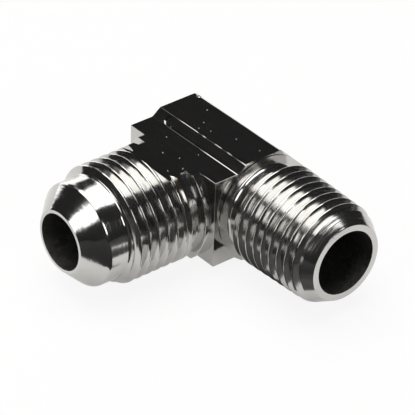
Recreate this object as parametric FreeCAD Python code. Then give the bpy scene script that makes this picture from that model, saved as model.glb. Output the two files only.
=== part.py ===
# Flare elbow fitting, one piece of plated brass, in millimetres.
# The flare arm points to -Y and the tapered pipe arm to +X. The origin is where their axes cross, +Z is up.
import FreeCAD, Part
import math
import os
from FreeCAD import Vector

# Body: wrench flats round the pipe axis, with a thinner tongue towards the flare arm
wrench_flats = 14.3           # across the top and bottom flats
corner_flats = 13.94          # across the two pairs of 45 degree facets, if they went all round
back_face = 7.15              # pipe axis to the back face
top_flat_front = 3.05         # pipe axis to the front edge of the top flat
step_run = 1.25               # from that edge forward to the foot of the step
tongue_thickness = 12.4       # across the tongue's flats
far_end = 8.3                 # flare axis to the end face away from the pipe arm
pipe_shoulder = 8.6           # flare axis to the end face that the pipe arm leaves
flare_shoulder = 7.75         # pipe axis to the face that the flare arm leaves
edge_break = 0.15             # small chamfer along the body's outer edges
cove_depth = 0.22             # shallow cutter run along the top step
cove_inset = 0.09             # step left standing on each side of the run
cove_from_end = 2.6           # far end face to the middle of the run's round end
spot_diameter = 13.96         # raised ring that the facing tool left on the pipe shoulder
spot_height = 0.12

# Flare arm: 45 degree seat on the nose, a plain neck and a straight thread
flare_length = 25.05          # pipe axis to the nose
flare_bore = 7.54
nose_face = 8.34              # outside diameter of the flat ring at the nose
seat_angle = 45.0             # between the seat and the axis
neck_diameter = 13.6
flare_thread = 15.72          # crest diameter
thread_start = 18.92          # pipe axis to the first full crest
lead_in = 0.66                # length of the slope from the neck to the crest
thread_end = 10.02            # pipe axis to the edge of the relief
relief_diameter = 14.9
relief_slope = 0.25           # length of the relief's slope on the thread's side
collar_diameter = 16.54
collar_length = 1.07          # from the shoulder to the relief
flat_end = 11.9               # pipe axis to the end of the tongue's flats, out on the thread
flat_ramp = 50.0              # slope of the ramp from the flats up to the thread
run_out = 11.33               # pipe axis to where the thread groove begins to fade
run_out_angle = 160.0         # and on which side, from +X towards +Z
run_out_turn = 0.61           # share of a turn over which it fades

# Pipe arm: taper thread behind a wide chamfer, and a slim neck at the body. Ring grooves at the thread's
# pitch stand for its helix, which keeps the facets few. scene.py cuts the helix to its full depth.
pipe_length = 24.43           # flare axis to the pipe end
pipe_bore = 8.74
pipe_face = 10.44             # outside diameter of the flat ring at the end
chamfer_angle = 30.0          # between the chamfer and the axis
chamfer_width = 1.4           # rise of the chamfer on the radius
gauge_diameter = 13.54        # crest diameter at gauge_from_end
gauge_from_end = 6.0
pipe_taper = 1.0 / 16         # of diameter on length
pipe_thread_end = 10.9        # flare axis to the thread's edge at the neck
pipe_neck = 11.1
ring_count = 7
first_ring = 12.7             # flare axis to the middle of the groove next to the neck
ring_depth = 0.6

# Thread form and drill
thread_pitch = 25.4 / 18      # both threads have 18 turns to the inch
crest_flat_share = 1 / 8      # flat crest, as a share of the pitch
depth_share = 0.6134          # thread depth, as a share of the pitch
flank_angle = 30.0            # between a flank and a plane across the axis
cutter_overshoot = 0.05       # how far the thread cutter stands out of the crest
drill_point = 118.0           # included angle of the drill's tip
bore_overrun = 1.2            # full bore drilled past the other bore's axis


def turned(outline):
    """Solid turned about +Z from (radius, height) pairs that begin and end on the axis."""
    corners = [Vector(radius, 0, height) for radius, height in outline]
    face = Part.Face(Part.makePolygon(corners + corners[:1]))
    return face.revolve(Vector(0, 0, 0), Vector(0, 0, 1), 360)


def along_flare(shape):
    """Lay a shape that was modelled along +Z towards -Y. Its +X stays and its +Y turns to +Z."""
    shape.rotate(Vector(0, 0, 0), Vector(1, 0, 0), 90)
    return shape


def along_pipe(shape):
    """Lay a shape that was modelled along +Z towards +X. Its +X turns to +Y."""
    shape.rotate(Vector(0, 0, 0), Vector(1, 1, 1), 120)
    return shape


def prism(points, start, length):
    """Solid with an outline of (y, z) pairs, running along +X from start."""
    corners = [Vector(start, y, z) for y, z in points]
    face = Part.Face(Part.makePolygon(corners + corners[:1]))
    return face.extrude(Vector(length, 0, 0))


def body_section(inset):
    """Half-symmetric outline of the body across the pipe axis, moved inwards by inset."""
    top = wrench_flats / 2 - inset
    tongue = tongue_thickness / 2 - inset
    facet = (corner_flats / 2 - inset) * math.sqrt(2)
    back = back_face - inset
    half = [
        (inset - flare_shoulder, tongue),
        (-top_flat_front - step_run, tongue),
        (-top_flat_front, top),
        (facet - top, top),
        (back, facet - back),
    ]
    return half + [(y, -z) for y, z in reversed(half)]


def step_cove():
    """Cutter for the shallow run along the top step, which opens at the pipe shoulder."""
    drop = (wrench_flats - tongue_thickness) / 2
    width = math.hypot(step_run, drop) - 2 * cove_inset
    length = far_end + pipe_shoulder
    run = Part.makeBox(length, width, 2 * cove_depth, Vector(0, -width / 2, -cove_depth))
    round_end = Part.makeCylinder(width / 2, 2 * cove_depth, Vector(0, 0, -cove_depth))
    cutter = run.fuse(round_end)
    cutter.rotate(Vector(0, 0, 0), Vector(1, 0, 0), math.degrees(math.atan2(drop, step_run)))
    middle = (wrench_flats + tongue_thickness) / 4
    cutter.translate(Vector(cove_from_end - far_end, -top_flat_front - step_run / 2, middle))
    return cutter


def make_body():
    body = prism(body_section(0), -far_end, far_end + pipe_shoulder)
    body = body.makeChamfer(edge_break, body.Edges).cut(step_cove())
    disc = along_pipe(Part.makeCylinder(spot_diameter / 2, spot_height))
    disc.translate(Vector(pipe_shoulder, 0, 0))
    faced = prism(body_section(edge_break), pipe_shoulder, spot_height)
    return body.fuse(disc.common(faced))


def groove_cutter(turns, rise):
    """Flat-bottomed V along a right-hand helix from +X at height 0, whose floor climbs by rise in all."""
    depth = depth_share * thread_pitch
    reach = depth + cutter_overshoot
    mouth = thread_pitch * (1 - crest_flat_share)
    half_floor = mouth / 2 - depth * math.tan(math.radians(flank_angle))
    half_mouth = half_floor + reach * math.tan(math.radians(flank_angle))
    floor = flare_thread / 2 - depth
    corners = [
        Vector(floor, 0, -half_floor),
        Vector(floor + reach, 0, -half_mouth),
        Vector(floor + reach, 0, half_mouth),
        Vector(floor, 0, half_floor),
    ]
    cone = math.atan2(rise, thread_pitch * turns)
    pitch = thread_pitch / math.cos(cone)
    path = Part.makeLongHelix(pitch, pitch * turns, floor, math.degrees(cone))
    sweep = Part.BRepOffsetAPI.MakePipeShell(Part.Wire(path.Edges))
    sweep.setBiNormalMode(Vector(0, 0, 1))
    sweep.add(Part.makePolygon(corners + corners[:1]))
    sweep.build()
    sweep.makeSolid()
    return sweep.shape()


def cut_thread(arm):
    """Cut the groove from beyond the lead-in to run_out, and let it fade towards the body from there."""
    past_lead_in = thread_start + lead_in + thread_pitch / 2 - run_out
    groove = groove_cutter(past_lead_in / thread_pitch, 0)
    fade = groove_cutter(run_out_turn, depth_share * thread_pitch + cutter_overshoot)
    fade.rotate(Vector(0, 0, 0), Vector(1, 0, 0), 180)
    for cutter in (groove, fade):
        cutter.rotate(Vector(0, 0, 0), Vector(0, 0, 1), run_out_angle)
        cutter.translate(Vector(0, 0, run_out))
        arm = arm.cut(cutter)
    return arm


def cut_flats(arm):
    """Carry the tongue's two flats out over the flare arm, up to a ramp in the thread."""
    tongue = tongue_thickness / 2
    outside = collar_diameter
    ramp_end = flat_end + (outside - tongue) / math.tan(math.radians(flat_ramp))
    above = [(0, tongue), (0, outside), (-ramp_end, outside), (-flat_end, tongue)]
    below = [(y, -z) for y, z in above]
    for outline in (above, below):
        arm = arm.cut(prism(outline, -collar_diameter, 2 * collar_diameter))
    return arm


def make_flare_arm():
    crest = flare_thread / 2
    neck = neck_diameter / 2
    nose = nose_face / 2
    relief = relief_diameter / 2
    collar_end = flare_shoulder + collar_length
    seat_length = (neck - nose) / math.tan(math.radians(seat_angle))
    blank = turned([
        (0, 0),
        (collar_diameter / 2, 0),
        (collar_diameter / 2, collar_end),
        (relief, collar_end),
        (relief, thread_end - relief_slope),
        (crest, thread_end),
        (crest, thread_start),
        (neck, thread_start + lead_in),
        (neck, flare_length - seat_length),
        (nose, flare_length),
        (0, flare_length),
    ])
    return cut_flats(along_flare(cut_thread(blank)))


def pipe_crest(from_origin):
    """Radius of the taper thread's crests at a distance along the pipe axis."""
    return gauge_diameter / 2 + (pipe_length - gauge_from_end - from_origin) * pipe_taper / 2


def ring_groove(middle):
    """Outline of one ring groove in the taper, from the side of the body to the side of the mouth."""
    half_mouth = thread_pitch * (1 - crest_flat_share) / 2
    half_floor = half_mouth - ring_depth * math.tan(math.radians(flank_angle))
    floor = pipe_crest(middle) - ring_depth
    return [
        (pipe_crest(middle - half_mouth), middle - half_mouth),
        (floor, middle - half_floor),
        (floor, middle + half_floor),
        (pipe_crest(middle + half_mouth), middle + half_mouth),
    ]


def make_pipe_arm():
    neck = pipe_neck / 2
    chamfer_end = pipe_length - chamfer_width / math.tan(math.radians(chamfer_angle))
    outline = [
        (0, 0),
        (neck, 0),
        (neck, pipe_thread_end),
        (pipe_crest(pipe_thread_end), pipe_thread_end),
    ]
    for ring in range(ring_count):
        outline += ring_groove(first_ring + ring * thread_pitch)
    outline += [
        (pipe_crest(chamfer_end), chamfer_end),
        (pipe_face / 2, pipe_length),
        (0, pipe_length),
    ]
    return along_pipe(turned(outline))


def drilled(diameter, depth):
    """Space that a drill leaves behind it along +Z, from its point to the mouth at depth."""
    radius = diameter / 2
    tip = bore_overrun + radius / math.tan(math.radians(drill_point / 2))
    return turned([(0, -tip), (radius, -bore_overrun), (radius, depth), (0, depth)])


def make_elbow():
    solid = make_body().fuse([make_flare_arm(), make_pipe_arm()]).removeSplitter()
    bores = [
        along_flare(drilled(flare_bore, flare_length)),
        along_pipe(drilled(pipe_bore, pipe_length)),
    ]
    return solid.cut(bores)


def write(node, shape):
    os.makedirs("parts", exist_ok=True)
    shape.exportStep("parts/" + node + ".step")


write("elbow_body", make_elbow())
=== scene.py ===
# Flare elbow fitting: one bright plated piece on white paper, seen from above its two mouths.
import math
import bmesh
import bpy
from mathutils import Matrix, Vector


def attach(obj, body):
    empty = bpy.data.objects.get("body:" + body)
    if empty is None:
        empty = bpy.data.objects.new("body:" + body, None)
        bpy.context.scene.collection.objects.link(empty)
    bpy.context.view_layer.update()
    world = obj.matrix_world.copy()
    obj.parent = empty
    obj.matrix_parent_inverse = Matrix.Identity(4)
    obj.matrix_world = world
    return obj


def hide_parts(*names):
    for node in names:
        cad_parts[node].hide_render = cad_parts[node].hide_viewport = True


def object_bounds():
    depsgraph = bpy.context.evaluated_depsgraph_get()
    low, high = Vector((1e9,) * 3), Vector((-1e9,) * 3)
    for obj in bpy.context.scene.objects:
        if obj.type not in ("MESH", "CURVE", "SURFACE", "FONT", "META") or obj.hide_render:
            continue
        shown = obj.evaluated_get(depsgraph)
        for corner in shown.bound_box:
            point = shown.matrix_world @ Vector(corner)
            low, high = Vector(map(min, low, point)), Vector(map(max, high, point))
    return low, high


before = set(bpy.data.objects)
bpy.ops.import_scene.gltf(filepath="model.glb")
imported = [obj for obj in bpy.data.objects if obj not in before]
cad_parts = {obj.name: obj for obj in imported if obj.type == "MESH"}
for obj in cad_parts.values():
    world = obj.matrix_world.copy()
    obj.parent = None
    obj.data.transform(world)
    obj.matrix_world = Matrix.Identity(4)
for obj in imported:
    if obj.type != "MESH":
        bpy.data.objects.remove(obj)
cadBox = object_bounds()
print("frame loaded")

mm = 0.001
hardEdge = math.radians(25)      # edges sharper than this stay crisp
turnSteps = 240                  # facets round a turned surface
roundSteps = 4                   # facets across a rounded edge
weld = 0.0004                    # mm, well under the finest edge
overrun = 1                      # mm that a cutter runs past what it cuts
finishSlots = ["flare", "body", "pipe", "bore"]

# Lengths are in mm from the point where the two axes cross. The flare arm runs to -Y, the pipe arm to +X.


def newPiece(name, bm, slot):
    for face in bm.faces:
        face.material_index = finishSlots.index(slot)
    mesh = bpy.data.meshes.new(name)
    bm.to_mesh(mesh)
    bm.free()
    for finish in finishSlots:
        mesh.materials.append(finishes[finish])
    piece = bpy.data.objects.new(name, mesh)
    bpy.context.scene.collection.objects.link(piece)
    return piece


def combine(piece, operation, *others):
    for other in others:
        step = piece.modifiers.new(operation, "BOOLEAN")
        step.operation = operation
        step.solver = "EXACT"
        step.object = other
    depsgraph = bpy.context.evaluated_depsgraph_get()
    piece.data = bpy.data.meshes.new_from_object(piece.evaluated_get(depsgraph))
    piece.modifiers.clear()
    for other in others:
        bpy.data.objects.remove(other)
    return piece


def roundOff(bm, geom, radius, affect):
    bmesh.ops.bevel(bm, geom=geom, offset=radius, offset_type="OFFSET", affect=affect,
                    segments=roundSteps, profile=0.5, material=-1)


# Each point of an outline is a radius and a height, and sometimes how much its corner is rounded
def turned(name, outline, slot):
    bm = bmesh.new()
    verts = [bm.verts.new((point[0], 0, point[1])) for point in outline]
    for pair in zip(verts, verts[1:]):
        bm.edges.new(pair)
    for vert, point in zip(verts, outline):
        if len(point) > 2:
            roundOff(bm, [vert], point[2], "VERTICES")
    bmesh.ops.spin(bm, geom=bm.verts[:] + bm.edges[:], cent=(0, 0, 0), axis=(0, 0, 1), angle=math.tau,
                   steps=turnSteps, use_merge=True)
    bmesh.ops.remove_doubles(bm, verts=bm.verts, dist=weld)
    bmesh.ops.recalc_face_normals(bm, faces=bm.faces)
    return newPiece(name, bm, slot)


thread = {
    "pitch": 25.4 / 18,
    "flank": 30,
    "flareMouth": 0.875,         # width of a groove at the crest, as a share of the pitch
    "pipeMouth": 0.88,
    "crestRound": 0.13,          # radius along both edges of a crest
    "crestSlope": 12,            # slope left where that rounding meets the crest
    "shoulderSteps": 4,
    "overshoot": 0.05,
    "steps": 96,                 # facets to a turn
}


# From the floor up the flank, then round onto the crest, as (height above the floor, half width)
def grooveHalf(depth, halfMouth):
    flank = math.radians(90 - thread["flank"])
    slope = math.radians(thread["crestSlope"])
    radius = thread["crestRound"]
    reach = radius * math.tan(flank / 2)
    startUp = depth - reach * math.sin(flank)
    startOut = halfMouth - reach * math.cos(flank)
    half = [(0, startOut - startUp / math.tan(flank))]
    for step in range(thread["shoulderSteps"] + 1):
        angle = flank + (slope - flank) * step / thread["shoulderSteps"]
        half.append((startUp + radius * (math.cos(angle) - math.cos(flank)),
                     startOut + radius * (math.sin(flank) - math.sin(angle))))
    up, out = half[-1]
    past = depth + thread["overshoot"]
    return half + [(past, out + (past - up) / math.tan(slope))]


# The floor climbs along the whole groove by climb, and out of the metal over the first fadeTurns
def grooveCutter(name, slot, turns, floor, depth, mouth, climb=0, fadeTurns=0):
    half = grooveHalf(depth, thread["pitch"] * mouth / 2)
    corners = [(floor + up, -out) for up, out in half] + [(floor + up, out) for up, out in reversed(half)]
    bm = bmesh.new()
    face = bm.faces.new([bm.verts.new((radius, 0, height)) for radius, height in corners])
    steps = round(thread["steps"] * turns)
    rise = thread["pitch"] * turns
    fade = thread["pitch"] * fadeTurns
    bmesh.ops.spin(bm, geom=[face], cent=(0, 0, 0), axis=(0, 0, 1), dvec=(0, 0, rise / steps),
                   angle=math.tau * turns, steps=steps, use_duplicate=False)
    for vert in bm.verts:
        outwards = Vector((vert.co.x, vert.co.y, 0)).normalized()
        lift = climb * vert.co.z / rise
        if fade:
            lift += (depth + thread["overshoot"]) * max(0, 1 - vert.co.z / fade)
        vert.co += outwards * lift
    bmesh.ops.recalc_face_normals(bm, faces=bm.faces)
    return newPiece(name, bm, slot)


def extrudeBy(bm, faces, step):
    made = bmesh.ops.extrude_face_region(bm, geom=faces, use_keep_orig=True)["geom"]
    far = [item for item in made if isinstance(item, bmesh.types.BMVert)]
    bmesh.ops.translate(bm, vec=step, verts=far)
    bmesh.ops.recalc_face_normals(bm, faces=bm.faces)


def prism(name, outline, start, length, rounding=0):
    bm = bmesh.new()
    face = bm.faces.new([bm.verts.new((start, y, z)) for y, z in outline])
    extrudeBy(bm, [face], (length, 0, 0))
    if rounding:
        back = [edge for edge in bm.edges if min(vert.co.y for vert in edge.verts) > 0
                and edge.calc_length() > length / 2]
        roundOff(bm, back, body["backRound"], "EDGES")
        sharp = [edge for edge in bm.edges if edge.calc_face_angle() > hardEdge]
        roundOff(bm, sharp, rounding, "EDGES")
    return newPiece(name, bm, "body")


def move(piece, *steps):
    for step in steps:
        piece.data.transform(step)
    return piece


def turn(degrees, axis):
    return Matrix.Rotation(math.radians(degrees), 4, axis)


alongFlare = turn(90, "X")                       # +Z to -Y, +X kept
alongPipe = turn(120, Vector((1, 1, 1)))         # +Z to +X, +X to +Y


body = {
    "flats": 7.15,               # half the width across the wrench flats
    "tongue": 6.2,               # and across the thinner tongue
    "facet": 6.97,               # pipe axis to the slanting faces at the back
    "back": 7.15,
    "flatFront": 3.05,           # pipe axis to the step, which then runs on by stepRun
    "stepRun": 1.25,
    "farEnd": 8.3,
    "pipeShoulder": 8.6,
    "flareShoulder": 7.75,
    "edgeRound": 0.05,
    "backRound": 0.25,           # the four long edges at the back are worn rounder
    "spot": 6.98,                # raised ring that the facing tool left round the pipe arm
    "spotHeight": 0.12,
    "spotSunk": 0.5,
    "coveDepth": 0.22,           # shallow cutter run along the step
    "coveInset": 0.09,
    "coveFromEnd": 2.6,
    "coveSteps": 48,
    "dentRadius": 0.2,           # of the ball that left each dent
    "dentDepth": 0.025,
    "dentDetail": 3,
    "topDents": [(-1.4, -2.34), (-2.03, -1.03), (0.04, -1.58), (3.39, -0.21), (7.19, 0.44), (-4.1, 1.2),
                 (1.9, 2.6)],
    "tongueDents": [(-0.82, -8.54), (1.4, -7.68), (2.79, -10.6), (3.52, -8.82), (-3.4, -5.9), (2.2, -5.3)],
    "edgeDents": [3.91, 0.82, -0.68, 5.89],    # along the front edge of the top flat
    "cornerChip": (-7.35, 2.5),
    "chipRadius": 0.35,
}


def bodyOutline(inset):
    top = body["flats"] - inset
    tongue = body["tongue"] - inset
    facet = (body["facet"] - inset) * math.sqrt(2)
    back = body["back"] - inset
    half = [
        (inset - body["flareShoulder"], tongue),
        (-body["flatFront"] - body["stepRun"], tongue),
        (-body["flatFront"], top),
        (facet - top, top),
        (back, facet - back),
    ]
    return half + [(y, -z) for y, z in reversed(half)]


def stepCove():
    drop = body["flats"] - body["tongue"]
    width = math.hypot(body["stepRun"], drop) - 2 * body["coveInset"]
    length = body["farEnd"] + body["pipeShoulder"]
    height = 2 * body["coveDepth"]
    bm = bmesh.new()
    bmesh.ops.create_circle(bm, cap_ends=True, radius=width / 2, segments=body["coveSteps"])
    for vert in bm.verts:
        if vert.co.x > 0:
            vert.co.x = length
            vert.co.y = math.copysign(width / 2, vert.co.y)
    bmesh.ops.remove_doubles(bm, verts=bm.verts, dist=weld)
    extrudeBy(bm, bm.faces[:], (0, 0, height))
    middle = (body["flats"] + body["tongue"]) / 2
    place = (body["coveFromEnd"] - body["farEnd"], -body["flatFront"] - body["stepRun"] / 2, middle)
    return move(newPiece("cove", bm, "body"), Matrix.Translation((0, 0, -height / 2)),
                turn(math.degrees(math.atan2(drop, body["stepRun"])), "X"), Matrix.Translation(place))


def ballCutter(balls):
    bm = bmesh.new()
    for centre, radius in balls:
        bmesh.ops.create_icosphere(bm, subdivisions=body["dentDetail"], radius=radius,
                                   matrix=Matrix.Translation(centre))
    return newPiece("dents", bm, "body")


def dents():
    lift = body["dentRadius"] - body["dentDepth"]
    top = body["flats"] + lift
    places = [(x, y, top) for x, y in body["topDents"]]
    places += [(x, y, body["tongue"] + lift) for x, y in body["tongueDents"]]
    places += [(x, -body["flatFront"], top) for x in body["edgeDents"]]
    chipX, chipY = body["cornerChip"]
    chip = ((chipX, chipY, body["flats"]), body["chipRadius"])
    return ballCutter([(place, body["dentRadius"]) for place in places] + [chip])


def makeBody():
    length = body["farEnd"] + body["pipeShoulder"]
    block = prism("block", bodyOutline(0), -body["farEnd"], length, body["edgeRound"])
    combine(block, "DIFFERENCE", stepCove())
    sunk, top = -body["spotSunk"], body["spotHeight"]
    outline = [(0, sunk), (body["spot"], sunk), (body["spot"], top), (0, top)]
    spot = turned("spot", outline, "pipe")
    move(spot, alongPipe, Matrix.Translation((body["pipeShoulder"], 0, 0)))
    start = body["pipeShoulder"] - overrun
    faced = prism("faced", bodyOutline(body["edgeRound"]), start, overrun + 2 * top)
    combine(spot, "INTERSECT", faced)
    return combine(block, "UNION", spot)


flareArm = {
    "length": 25.05,
    "noseFace": 4.17,
    "bore": 3.77,
    "neck": 6.8,
    "neckRound": 0.2,            # at both ends of the plain neck
    "noseRound": 0.06,
    "crestRound": 0.15,          # where the crests meet the lead-in
    "reliefRound": 0.05,
    "collarRound": 0.08,
    "crest": 7.86,
    "threadStart": 18.92,
    "leadIn": 0.66,
    "threadEnd": 10.02,
    "reliefSlope": 0.25,
    "relief": 7.45,
    "collar": 8.27,
    "collarLength": 1.07,
    "flatEnd": 11.9,             # where the tongue's flats end in a ramp
    "flatRamp": 50,
    "runOut": 11.33,             # where the groove begins to fade, over a share of a turn
    "runOutAngle": 160,          # degrees from +X towards +Z
    "runOutTurn": 0.61,
    "threadDepth": 0.866,
}


def makeFlareArm():
    arm = flareArm
    collarEnd = body["flareShoulder"] + arm["collarLength"]
    blank = turned("flareArm", [
        (0, 0),
        (arm["collar"], 0),
        (arm["collar"], collarEnd, arm["collarRound"]),
        (arm["relief"], collarEnd),
        (arm["relief"], arm["threadEnd"] - arm["reliefSlope"]),
        (arm["crest"], arm["threadEnd"], arm["reliefRound"]),
        (arm["crest"], arm["threadStart"], arm["crestRound"]),
        (arm["neck"], arm["threadStart"] + arm["leadIn"], arm["neckRound"]),
        (arm["neck"], arm["length"] - (arm["neck"] - arm["noseFace"]), arm["neckRound"]),
        (arm["noseFace"], arm["length"], arm["noseRound"]),
        (0, arm["length"]),
    ], "flare")
    floor = arm["crest"] - arm["threadDepth"]
    past = arm["threadStart"] + arm["leadIn"] + thread["pitch"] / 2
    turns = (past - arm["runOut"]) / thread["pitch"] + arm["runOutTurn"]
    groove = grooveCutter("groove", "flare", turns, floor, arm["threadDepth"], thread["flareMouth"],
                          fadeTurns=arm["runOutTurn"])
    start = arm["runOut"] - arm["runOutTurn"] * thread["pitch"]
    move(groove, turn(arm["runOutAngle"] - 360 * arm["runOutTurn"], "Z"), Matrix.Translation((0, 0, start)))
    combine(blank, "DIFFERENCE", groove)
    move(blank, alongFlare)
    outside = 2 * arm["crest"]
    tongue = body["tongue"]
    rampEnd = arm["flatEnd"] + (outside - tongue) / math.tan(math.radians(arm["flatRamp"]))
    above = [(overrun, tongue), (overrun, outside), (-rampEnd, outside), (-arm["flatEnd"], tongue)]
    below = [(y, -z) for y, z in above]
    flats = [prism("flat", outline, -outside, 2 * outside) for outline in (above, below)]
    return combine(blank, "DIFFERENCE", *flats)


pipeArm = {
    "length": 24.43,
    "endFace": 5.22,
    "bore": 4.37,
    "chamferRise": 1.4,
    "chamferAngle": 30,
    "gauge": 6.77,
    "gaugeFromEnd": 6.0,
    "taper": 1 / 32,             # of radius on length
    "threadEnd": 11.1,
    "endSlope": 0.5,
    "neck": 5.55,
    "rootRound": 0.5,            # where the neck grows out of the body
    "rootLand": 0.05,
    "rootSunk": 0.02,
    "neckRound": 0.15,
    "threadRound": 0.08,
    "chamferRound": 0.12,
    "faceRound": 0.06,
    "threadFrom": 24.73,         # where the groove's middle begins, past the end
    "threadAngle": 324,          # and on which side, degrees from +Y towards +Z
    "threadTurns": 10.2,
    "threadDepth": 0.95,
}


def pipeCrest(place):
    arm = pipeArm
    return arm["gauge"] + (arm["length"] - arm["gaugeFromEnd"] - place) * arm["taper"]


def makePipeArm():
    arm = pipeArm
    chamferEnd = arm["length"] - arm["chamferRise"] / math.tan(math.radians(arm["chamferAngle"]))
    root = body["pipeShoulder"] + body["spotHeight"] - arm["rootSunk"]
    rootEdge = arm["neck"] + arm["rootRound"] + arm["rootLand"]
    blank = turned("pipeArm", [
        (0, 0),
        (rootEdge, 0),
        (rootEdge, root),
        (arm["neck"], root, arm["rootRound"]),
        (arm["neck"], arm["threadEnd"] - arm["endSlope"], arm["neckRound"]),
        (pipeCrest(arm["threadEnd"]), arm["threadEnd"], arm["threadRound"]),
        (pipeCrest(chamferEnd), chamferEnd, arm["chamferRound"]),
        (arm["endFace"], arm["length"], arm["faceRound"]),
        (0, arm["length"]),
    ], "pipe")
    floor = pipeCrest(arm["threadFrom"]) - arm["threadDepth"]
    climb = arm["threadTurns"] * thread["pitch"] * arm["taper"]
    groove = grooveCutter("groove", "pipe", arm["threadTurns"], floor, arm["threadDepth"],
                          thread["pipeMouth"], climb)
    start = Matrix.Translation((0, 0, arm["threadFrom"]))
    move(groove, turn(180, "X"), turn(arm["threadAngle"], "Z"), start)
    return move(combine(blank, "DIFFERENCE", groove), alongPipe)


drill = {"point": 118, "overrun": 1.2}


def drilled(name, arm):
    radius = arm["bore"]
    tip = drill["overrun"] + radius / math.tan(math.radians(drill["point"] / 2))
    past = arm["length"] + overrun
    return turned(name, [(0, -tip), (radius, -drill["overrun"]), (radius, past), (0, past)], "bore")


def makeElbow():
    elbow = makeBody()
    combine(elbow, "UNION", makeFlareArm())
    combine(elbow, "UNION", makePipeArm())
    flareBore = move(drilled("flareBore", flareArm), alongFlare)
    pipeBore = move(drilled("pipeBore", pipeArm), alongPipe)
    combine(elbow, "DIFFERENCE", flareBore, pipeBore, dents())
    bm = bmesh.new()
    bm.from_mesh(elbow.data)
    bmesh.ops.dissolve_degenerate(bm, edges=bm.edges, dist=weld)
    for face in bm.faces:
        face.smooth = True
    for edge in bm.edges:
        edge.smooth = len(edge.link_faces) == 2 and edge.calc_face_angle(0) < hardEdge
    openEdges = sum(len(edge.link_faces) != 2 for edge in bm.edges)
    print("elbow joined,", openEdges, "open edges,", round(bm.calc_volume(), 1), "cubic mm")
    bmesh.ops.scale(bm, vec=(mm, mm, mm), verts=bm.verts)
    bm.to_mesh(elbow.data)
    bm.free()
    elbow.name = "elbow"
    shade = elbow.modifiers.new("evenShade", "WEIGHTED_NORMAL")    # flats look flat beside rounded edges
    shade.keep_sharp = True
    shade.weight = 95            # the largest faces lead
    return elbow


def linear(hexColour):
    channels = [int(hexColour[place:place + 2], 16) / 255 for place in (1, 3, 5)]
    return [c / 12.92 if c <= 0.04045 else ((c + 0.055) / 1.055) ** 2.4 for c in channels] + [1]


# Inputs go by name, or by number where a node has several of one name
def addNode(tree, kind, settings, inputs):
    node = tree.nodes.new(kind)
    for name, value in settings.items():
        setattr(node, name, value)
    for name, value in inputs.items():
        socket = node.inputs[name]
        if isinstance(value, bpy.types.NodeSocket):
            tree.links.new(value, socket)
        else:
            socket.default_value = value
    return node


# Sizes in mm. grain is how far one mark of the tool runs along X, Y and Z, and wave is the slow swell that
# polishing leaves. The real turning lines are about 0.05 mm apart, too fine to show, so they are drawn three
# times as coarse.
plating = {
    # bright nickel over turned brass: rings round the arm pull each reflection out along it
    "flare": {"finish": "brightNickelFlare", "tint": "#d0cfcd", "stain": "#c2c0bc",
              "roughness": (0.09, 0.17), "grain": (5, 0.15, 5), "grainDepth": 0.017,
              "wave": 3, "waveDepth": 0.13},
    # the same over the rougher taper thread: softer edges to the highlights
    "pipe": {"finish": "brightNickelPipe", "tint": "#d0cfcd", "stain": "#c2c0bc",
             "roughness": (0.12, 0.2), "grain": (0.15, 5, 5), "grainDepth": 0.016,
             "wave": 3, "waveDepth": 0.1},
    # the same over ground flats: a near mirror, black where the room is dark
    "body": {"finish": "brightNickelPolished", "tint": "#cccbc9", "stain": "#bebcb8",
             "roughness": (0.05, 0.1), "grain": (4, 0.4, 0.4), "grainDepth": 0.003,
             "wave": 4, "waveDepth": 0.03},
    # thin plate in the drilled bores: dull and dark grey
    "bore": {"finish": "dullNickelDrilled", "tint": "#9c9b99", "stain": "#868482",
             "roughness": (0.35, 0.5), "grain": (0.4, 0.4, 0.4), "grainDepth": 0.02,
             "wave": 3, "waveDepth": 0.05},
}

noiseRange = (0.3, 0.7)          # what the noise nearly always stays within

# A speck where the plate is worn through, at the end of the straight thread
bareBrass = {"place": (4.9, -10.7, 6.05), "radius": 0.4, "colour": "#b58f4e"}


def wornThrough(tree, place, tint):
    centre = [axis * mm for axis in bareBrass["place"]]
    away = addNode(tree, "ShaderNodeVectorMath", {"operation": "DISTANCE"}, {0: place, 1: centre})
    near = addNode(tree, "ShaderNodeMapRange", {}, {
        "Value": away.outputs["Value"], "From Min": bareBrass["radius"] * mm, "From Max": 0})
    return addNode(tree, "ShaderNodeMix", {"data_type": "RGBA"}, {
        0: near.outputs[0], 6: tint, 7: linear(bareBrass["colour"])}).outputs[2]


def plated(slot, look):
    finish = bpy.data.materials.new(look["finish"])
    finish.use_nodes = True
    tree = finish.node_tree
    shader = tree.nodes["Principled BSDF"]
    shader.inputs["Metallic"].default_value = 1
    place = addNode(tree, "ShaderNodeTexCoord", {}, {}).outputs["Object"]
    along = addNode(tree, "ShaderNodeMapping", {}, {
        "Vector": place, "Scale": [1 / (size * mm) for size in look["grain"]]})
    marks = addNode(tree, "ShaderNodeTexNoise", {}, {"Vector": along.outputs[0], "Scale": 1, "Detail": 2})
    swell = addNode(tree, "ShaderNodeTexNoise", {}, {
        "Vector": place, "Scale": 1 / (look["wave"] * mm), "Detail": 1})
    low, high = noiseRange
    least, most = look["roughness"]
    blur = addNode(tree, "ShaderNodeMapRange", {}, {
        "Value": marks.outputs[0], "From Min": low, "From Max": high, "To Min": least, "To Max": most})
    tint = addNode(tree, "ShaderNodeMix", {"data_type": "RGBA"}, {
        0: swell.outputs[0], 6: linear(look["tint"]), 7: linear(look["stain"])}).outputs[2]
    if slot == "flare":
        tint = wornThrough(tree, place, tint)
    waves = addNode(tree, "ShaderNodeBump", {}, {
        "Height": swell.outputs[0], "Distance": look["waveDepth"] * mm})
    cuts = addNode(tree, "ShaderNodeBump", {}, {
        "Height": marks.outputs[0], "Distance": look["grainDepth"] * mm, "Normal": waves.outputs[0]})
    tree.links.new(tint, shader.inputs["Base Color"])
    tree.links.new(blur.outputs[0], shader.inputs["Roughness"])
    tree.links.new(cuts.outputs[0], shader.inputs["Normal"])
    return finish


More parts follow.
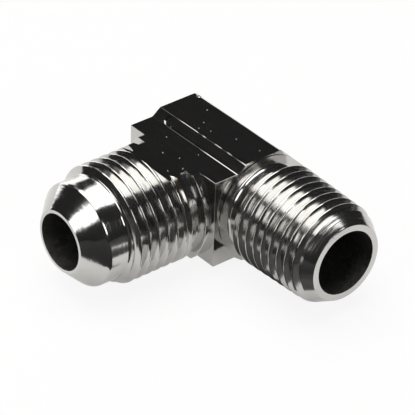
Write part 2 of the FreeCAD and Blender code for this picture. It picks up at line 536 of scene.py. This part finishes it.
finishes = {slot: plated(slot, plating[slot]) for slot in finishSlots}
elbow = makeElbow()
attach(elbow, "root")
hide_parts("elbow_body")
print("elbow made,", len(elbow.data.polygons), "faces")

studio = {
    "floorSize": 1.5,            # m from the middle to each side
    "floorColour": "#f4f4f2",
    "paperRoughness": 0.9,       # and of the cards
    "cardLift": 0.1,             # mm above the floor
    "glowToCamera": 0.88,        # share of the floor that shows as plain white
    "glowInMetal": 0.35,         # and that the metal mirrors so
    "cameraPlace": (244.72, -206.81, 209.63),    # mm
    "cameraRight": (0.62959, 0.77655, 0.02429),
    "cameraAway": (-0.63672, 0.53363, -0.55663),
    "lens": 262.1,
    "sensor": 36,
    "worldColour": "#2a2a2a",
}

# Each lamp: bearing from +Y towards +X and height above the horizon in degrees, as are wide and high. The
# distance is in m, and bright is what a mirror would show.
lamps = {
    "overhead": {"bearing": -90, "height": 81.5, "wide": 57, "high": 56, "distance": 0.8, "bright": 3.0},
    "spill": {"bearing": -88, "height": 44, "wide": 30, "high": 13, "distance": 0.8, "bright": 0.3},
    "frontLeft": {"bearing": 176, "height": 34, "wide": 30, "high": 26, "distance": 0.8, "bright": 2.8},
    "right": {"bearing": 96, "height": 30, "wide": 30, "high": 20, "distance": 0.8, "bright": 3.2},
    "sweep": {"bearing": -70, "height": 10, "wide": 70, "high": 26, "distance": 1, "bright": 1.7},
}

# Dark cards on the paper, in mm, seen only as mirrored by the metal: painted dark reflections in front,
# beside the pipe arm and far to the right, and painted shadow under and in front of the pipe arm
cards = {
    "blackCard": {"from": (10, -1400), "to": (1400, -18), "colour": "#1c1c1c"},
    "sideCard": {"from": (18, -18), "to": (48, -13), "colour": "#383838"},
    "farCard": {"from": (48, -18), "to": (1400, 600), "colour": "#383838"},
    # painted shadow: the pipe arm's shadow on the paper, as the metal mirrors it, drawn as grey cards
    "pipeShadowCard": {"from": (12, -13), "to": (48, -7), "colour": "#505050"},
    "underPipeShadowCard": {"from": (13, -7), "to": (20, -1), "colour": "#505050"},
}


def addLamp(name, wish):
    bearing = math.radians(wish["bearing"])
    height = math.radians(wish["height"])
    level = math.cos(height)
    towards = Vector((math.sin(bearing) * level, math.cos(bearing) * level, math.sin(height)))
    lamp = bpy.data.lights.new(name, "AREA")
    lamp.shape = "RECTANGLE"
    lamp.size = 2 * wish["distance"] * math.tan(math.radians(wish["wide"] / 2))
    lamp.size_y = 2 * wish["distance"] * math.tan(math.radians(wish["high"] / 2))
    lamp.energy = wish["bright"] * math.pi * lamp.size * lamp.size_y
    holder = bpy.data.objects.new(name, lamp)
    holder.location = towards * wish["distance"]
    holder.rotation_euler = towards.to_track_quat("Z", "Y").to_euler()
    bpy.context.scene.collection.objects.link(holder)


def flatPiece(name, near, far, height, material):
    (left, front), (right, back) = near, far
    corners = [(left, front), (right, front), (right, back), (left, back)]
    bm = bmesh.new()
    bm.faces.new([bm.verts.new((x, y, height)) for x, y in corners])
    mesh = bpy.data.meshes.new(name)
    bm.to_mesh(mesh)
    bm.free()
    mesh.materials.append(material)
    piece = bpy.data.objects.new(name, mesh)
    bpy.context.scene.collection.objects.link(piece)
    return piece


def makeFloor(height):
    paper = bpy.data.materials.new("floorPaper")
    paper.use_nodes = True
    tree = paper.node_tree
    shader = tree.nodes["Principled BSDF"]
    shader.inputs["Base Color"].default_value = linear(studio["floorColour"])
    shader.inputs["Roughness"].default_value = studio["paperRoughness"]
    path = addNode(tree, "ShaderNodeLightPath", {}, {}).outputs
    mirrored = addNode(tree, "ShaderNodeMath", {"operation": "MAXIMUM"}, {
        0: path["Is Glossy Ray"], 1: path["Is Transmission Ray"]})
    inMetal = addNode(tree, "ShaderNodeMath", {"operation": "MULTIPLY"}, {
        0: mirrored.outputs[0], 1: studio["glowInMetal"]})
    share = addNode(tree, "ShaderNodeMath", {"operation": "MULTIPLY_ADD"}, {
        0: path["Is Camera Ray"], 1: studio["glowToCamera"], 2: inMetal.outputs[0]})
    glow = addNode(tree, "ShaderNodeEmission", {}, {"Strength": 1})
    mix = addNode(tree, "ShaderNodeMixShader", {}, {
        0: share.outputs[0], 1: shader.outputs[0], 2: glow.outputs[0]})
    tree.links.new(mix.outputs[0], tree.nodes["Material Output"].inputs["Surface"])
    size = studio["floorSize"]
    flatPiece("floor", (-size, -size), (size, size), height, paper)


# Each card paints shade into the metal's reflections only: camera rays, bounced light and shadows pass
# through it
def addCard(name, card, height):
    shadeFinish = bpy.data.materials.new(name + "PaintedShade")
    shadeFinish.use_nodes = True
    shader = shadeFinish.node_tree.nodes["Principled BSDF"]
    shader.inputs["Base Color"].default_value = linear(card["colour"])
    shader.inputs["Roughness"].default_value = studio["paperRoughness"]
    near = [axis * mm for axis in card["from"]]
    far = [axis * mm for axis in card["to"]]
    piece = flatPiece(name, near, far, height, shadeFinish)
    piece.visible_camera = False
    piece.visible_diffuse = False
    piece.visible_shadow = False


def makeCamera():
    away = Vector(studio["cameraAway"]).normalized()
    right = Vector(studio["cameraRight"])
    right = (right - right.dot(away) * away).normalized()
    up = right.cross(away)
    lens = bpy.data.cameras.new("camera")
    lens.lens = studio["lens"]
    lens.sensor_width = studio["sensor"]
    camera = bpy.data.objects.new("camera", lens)
    turnTo = Matrix((right, up, -away)).transposed().to_4x4()
    camera.matrix_world = Matrix.Translation(Vector(studio["cameraPlace"]) * mm) @ turnTo
    bpy.context.scene.collection.objects.link(camera)
    bpy.context.scene.camera = camera


def makeWorld():
    world = bpy.data.worlds.new("world")
    world.use_nodes = True
    world.node_tree.nodes["Background"].inputs["Color"].default_value = linear(studio["worldColour"])
    bpy.context.scene.world = world


bpy.context.scene.view_settings.view_transform = "Standard"
makeFloor(cadBox[0][2])
for name, card in cards.items():
    addCard(name, card, cadBox[0][2] + studio["cardLift"] * mm)
makeCamera()
makeWorld()
for name, wish in lamps.items():
    addLamp(name, wish)
print("studio set")
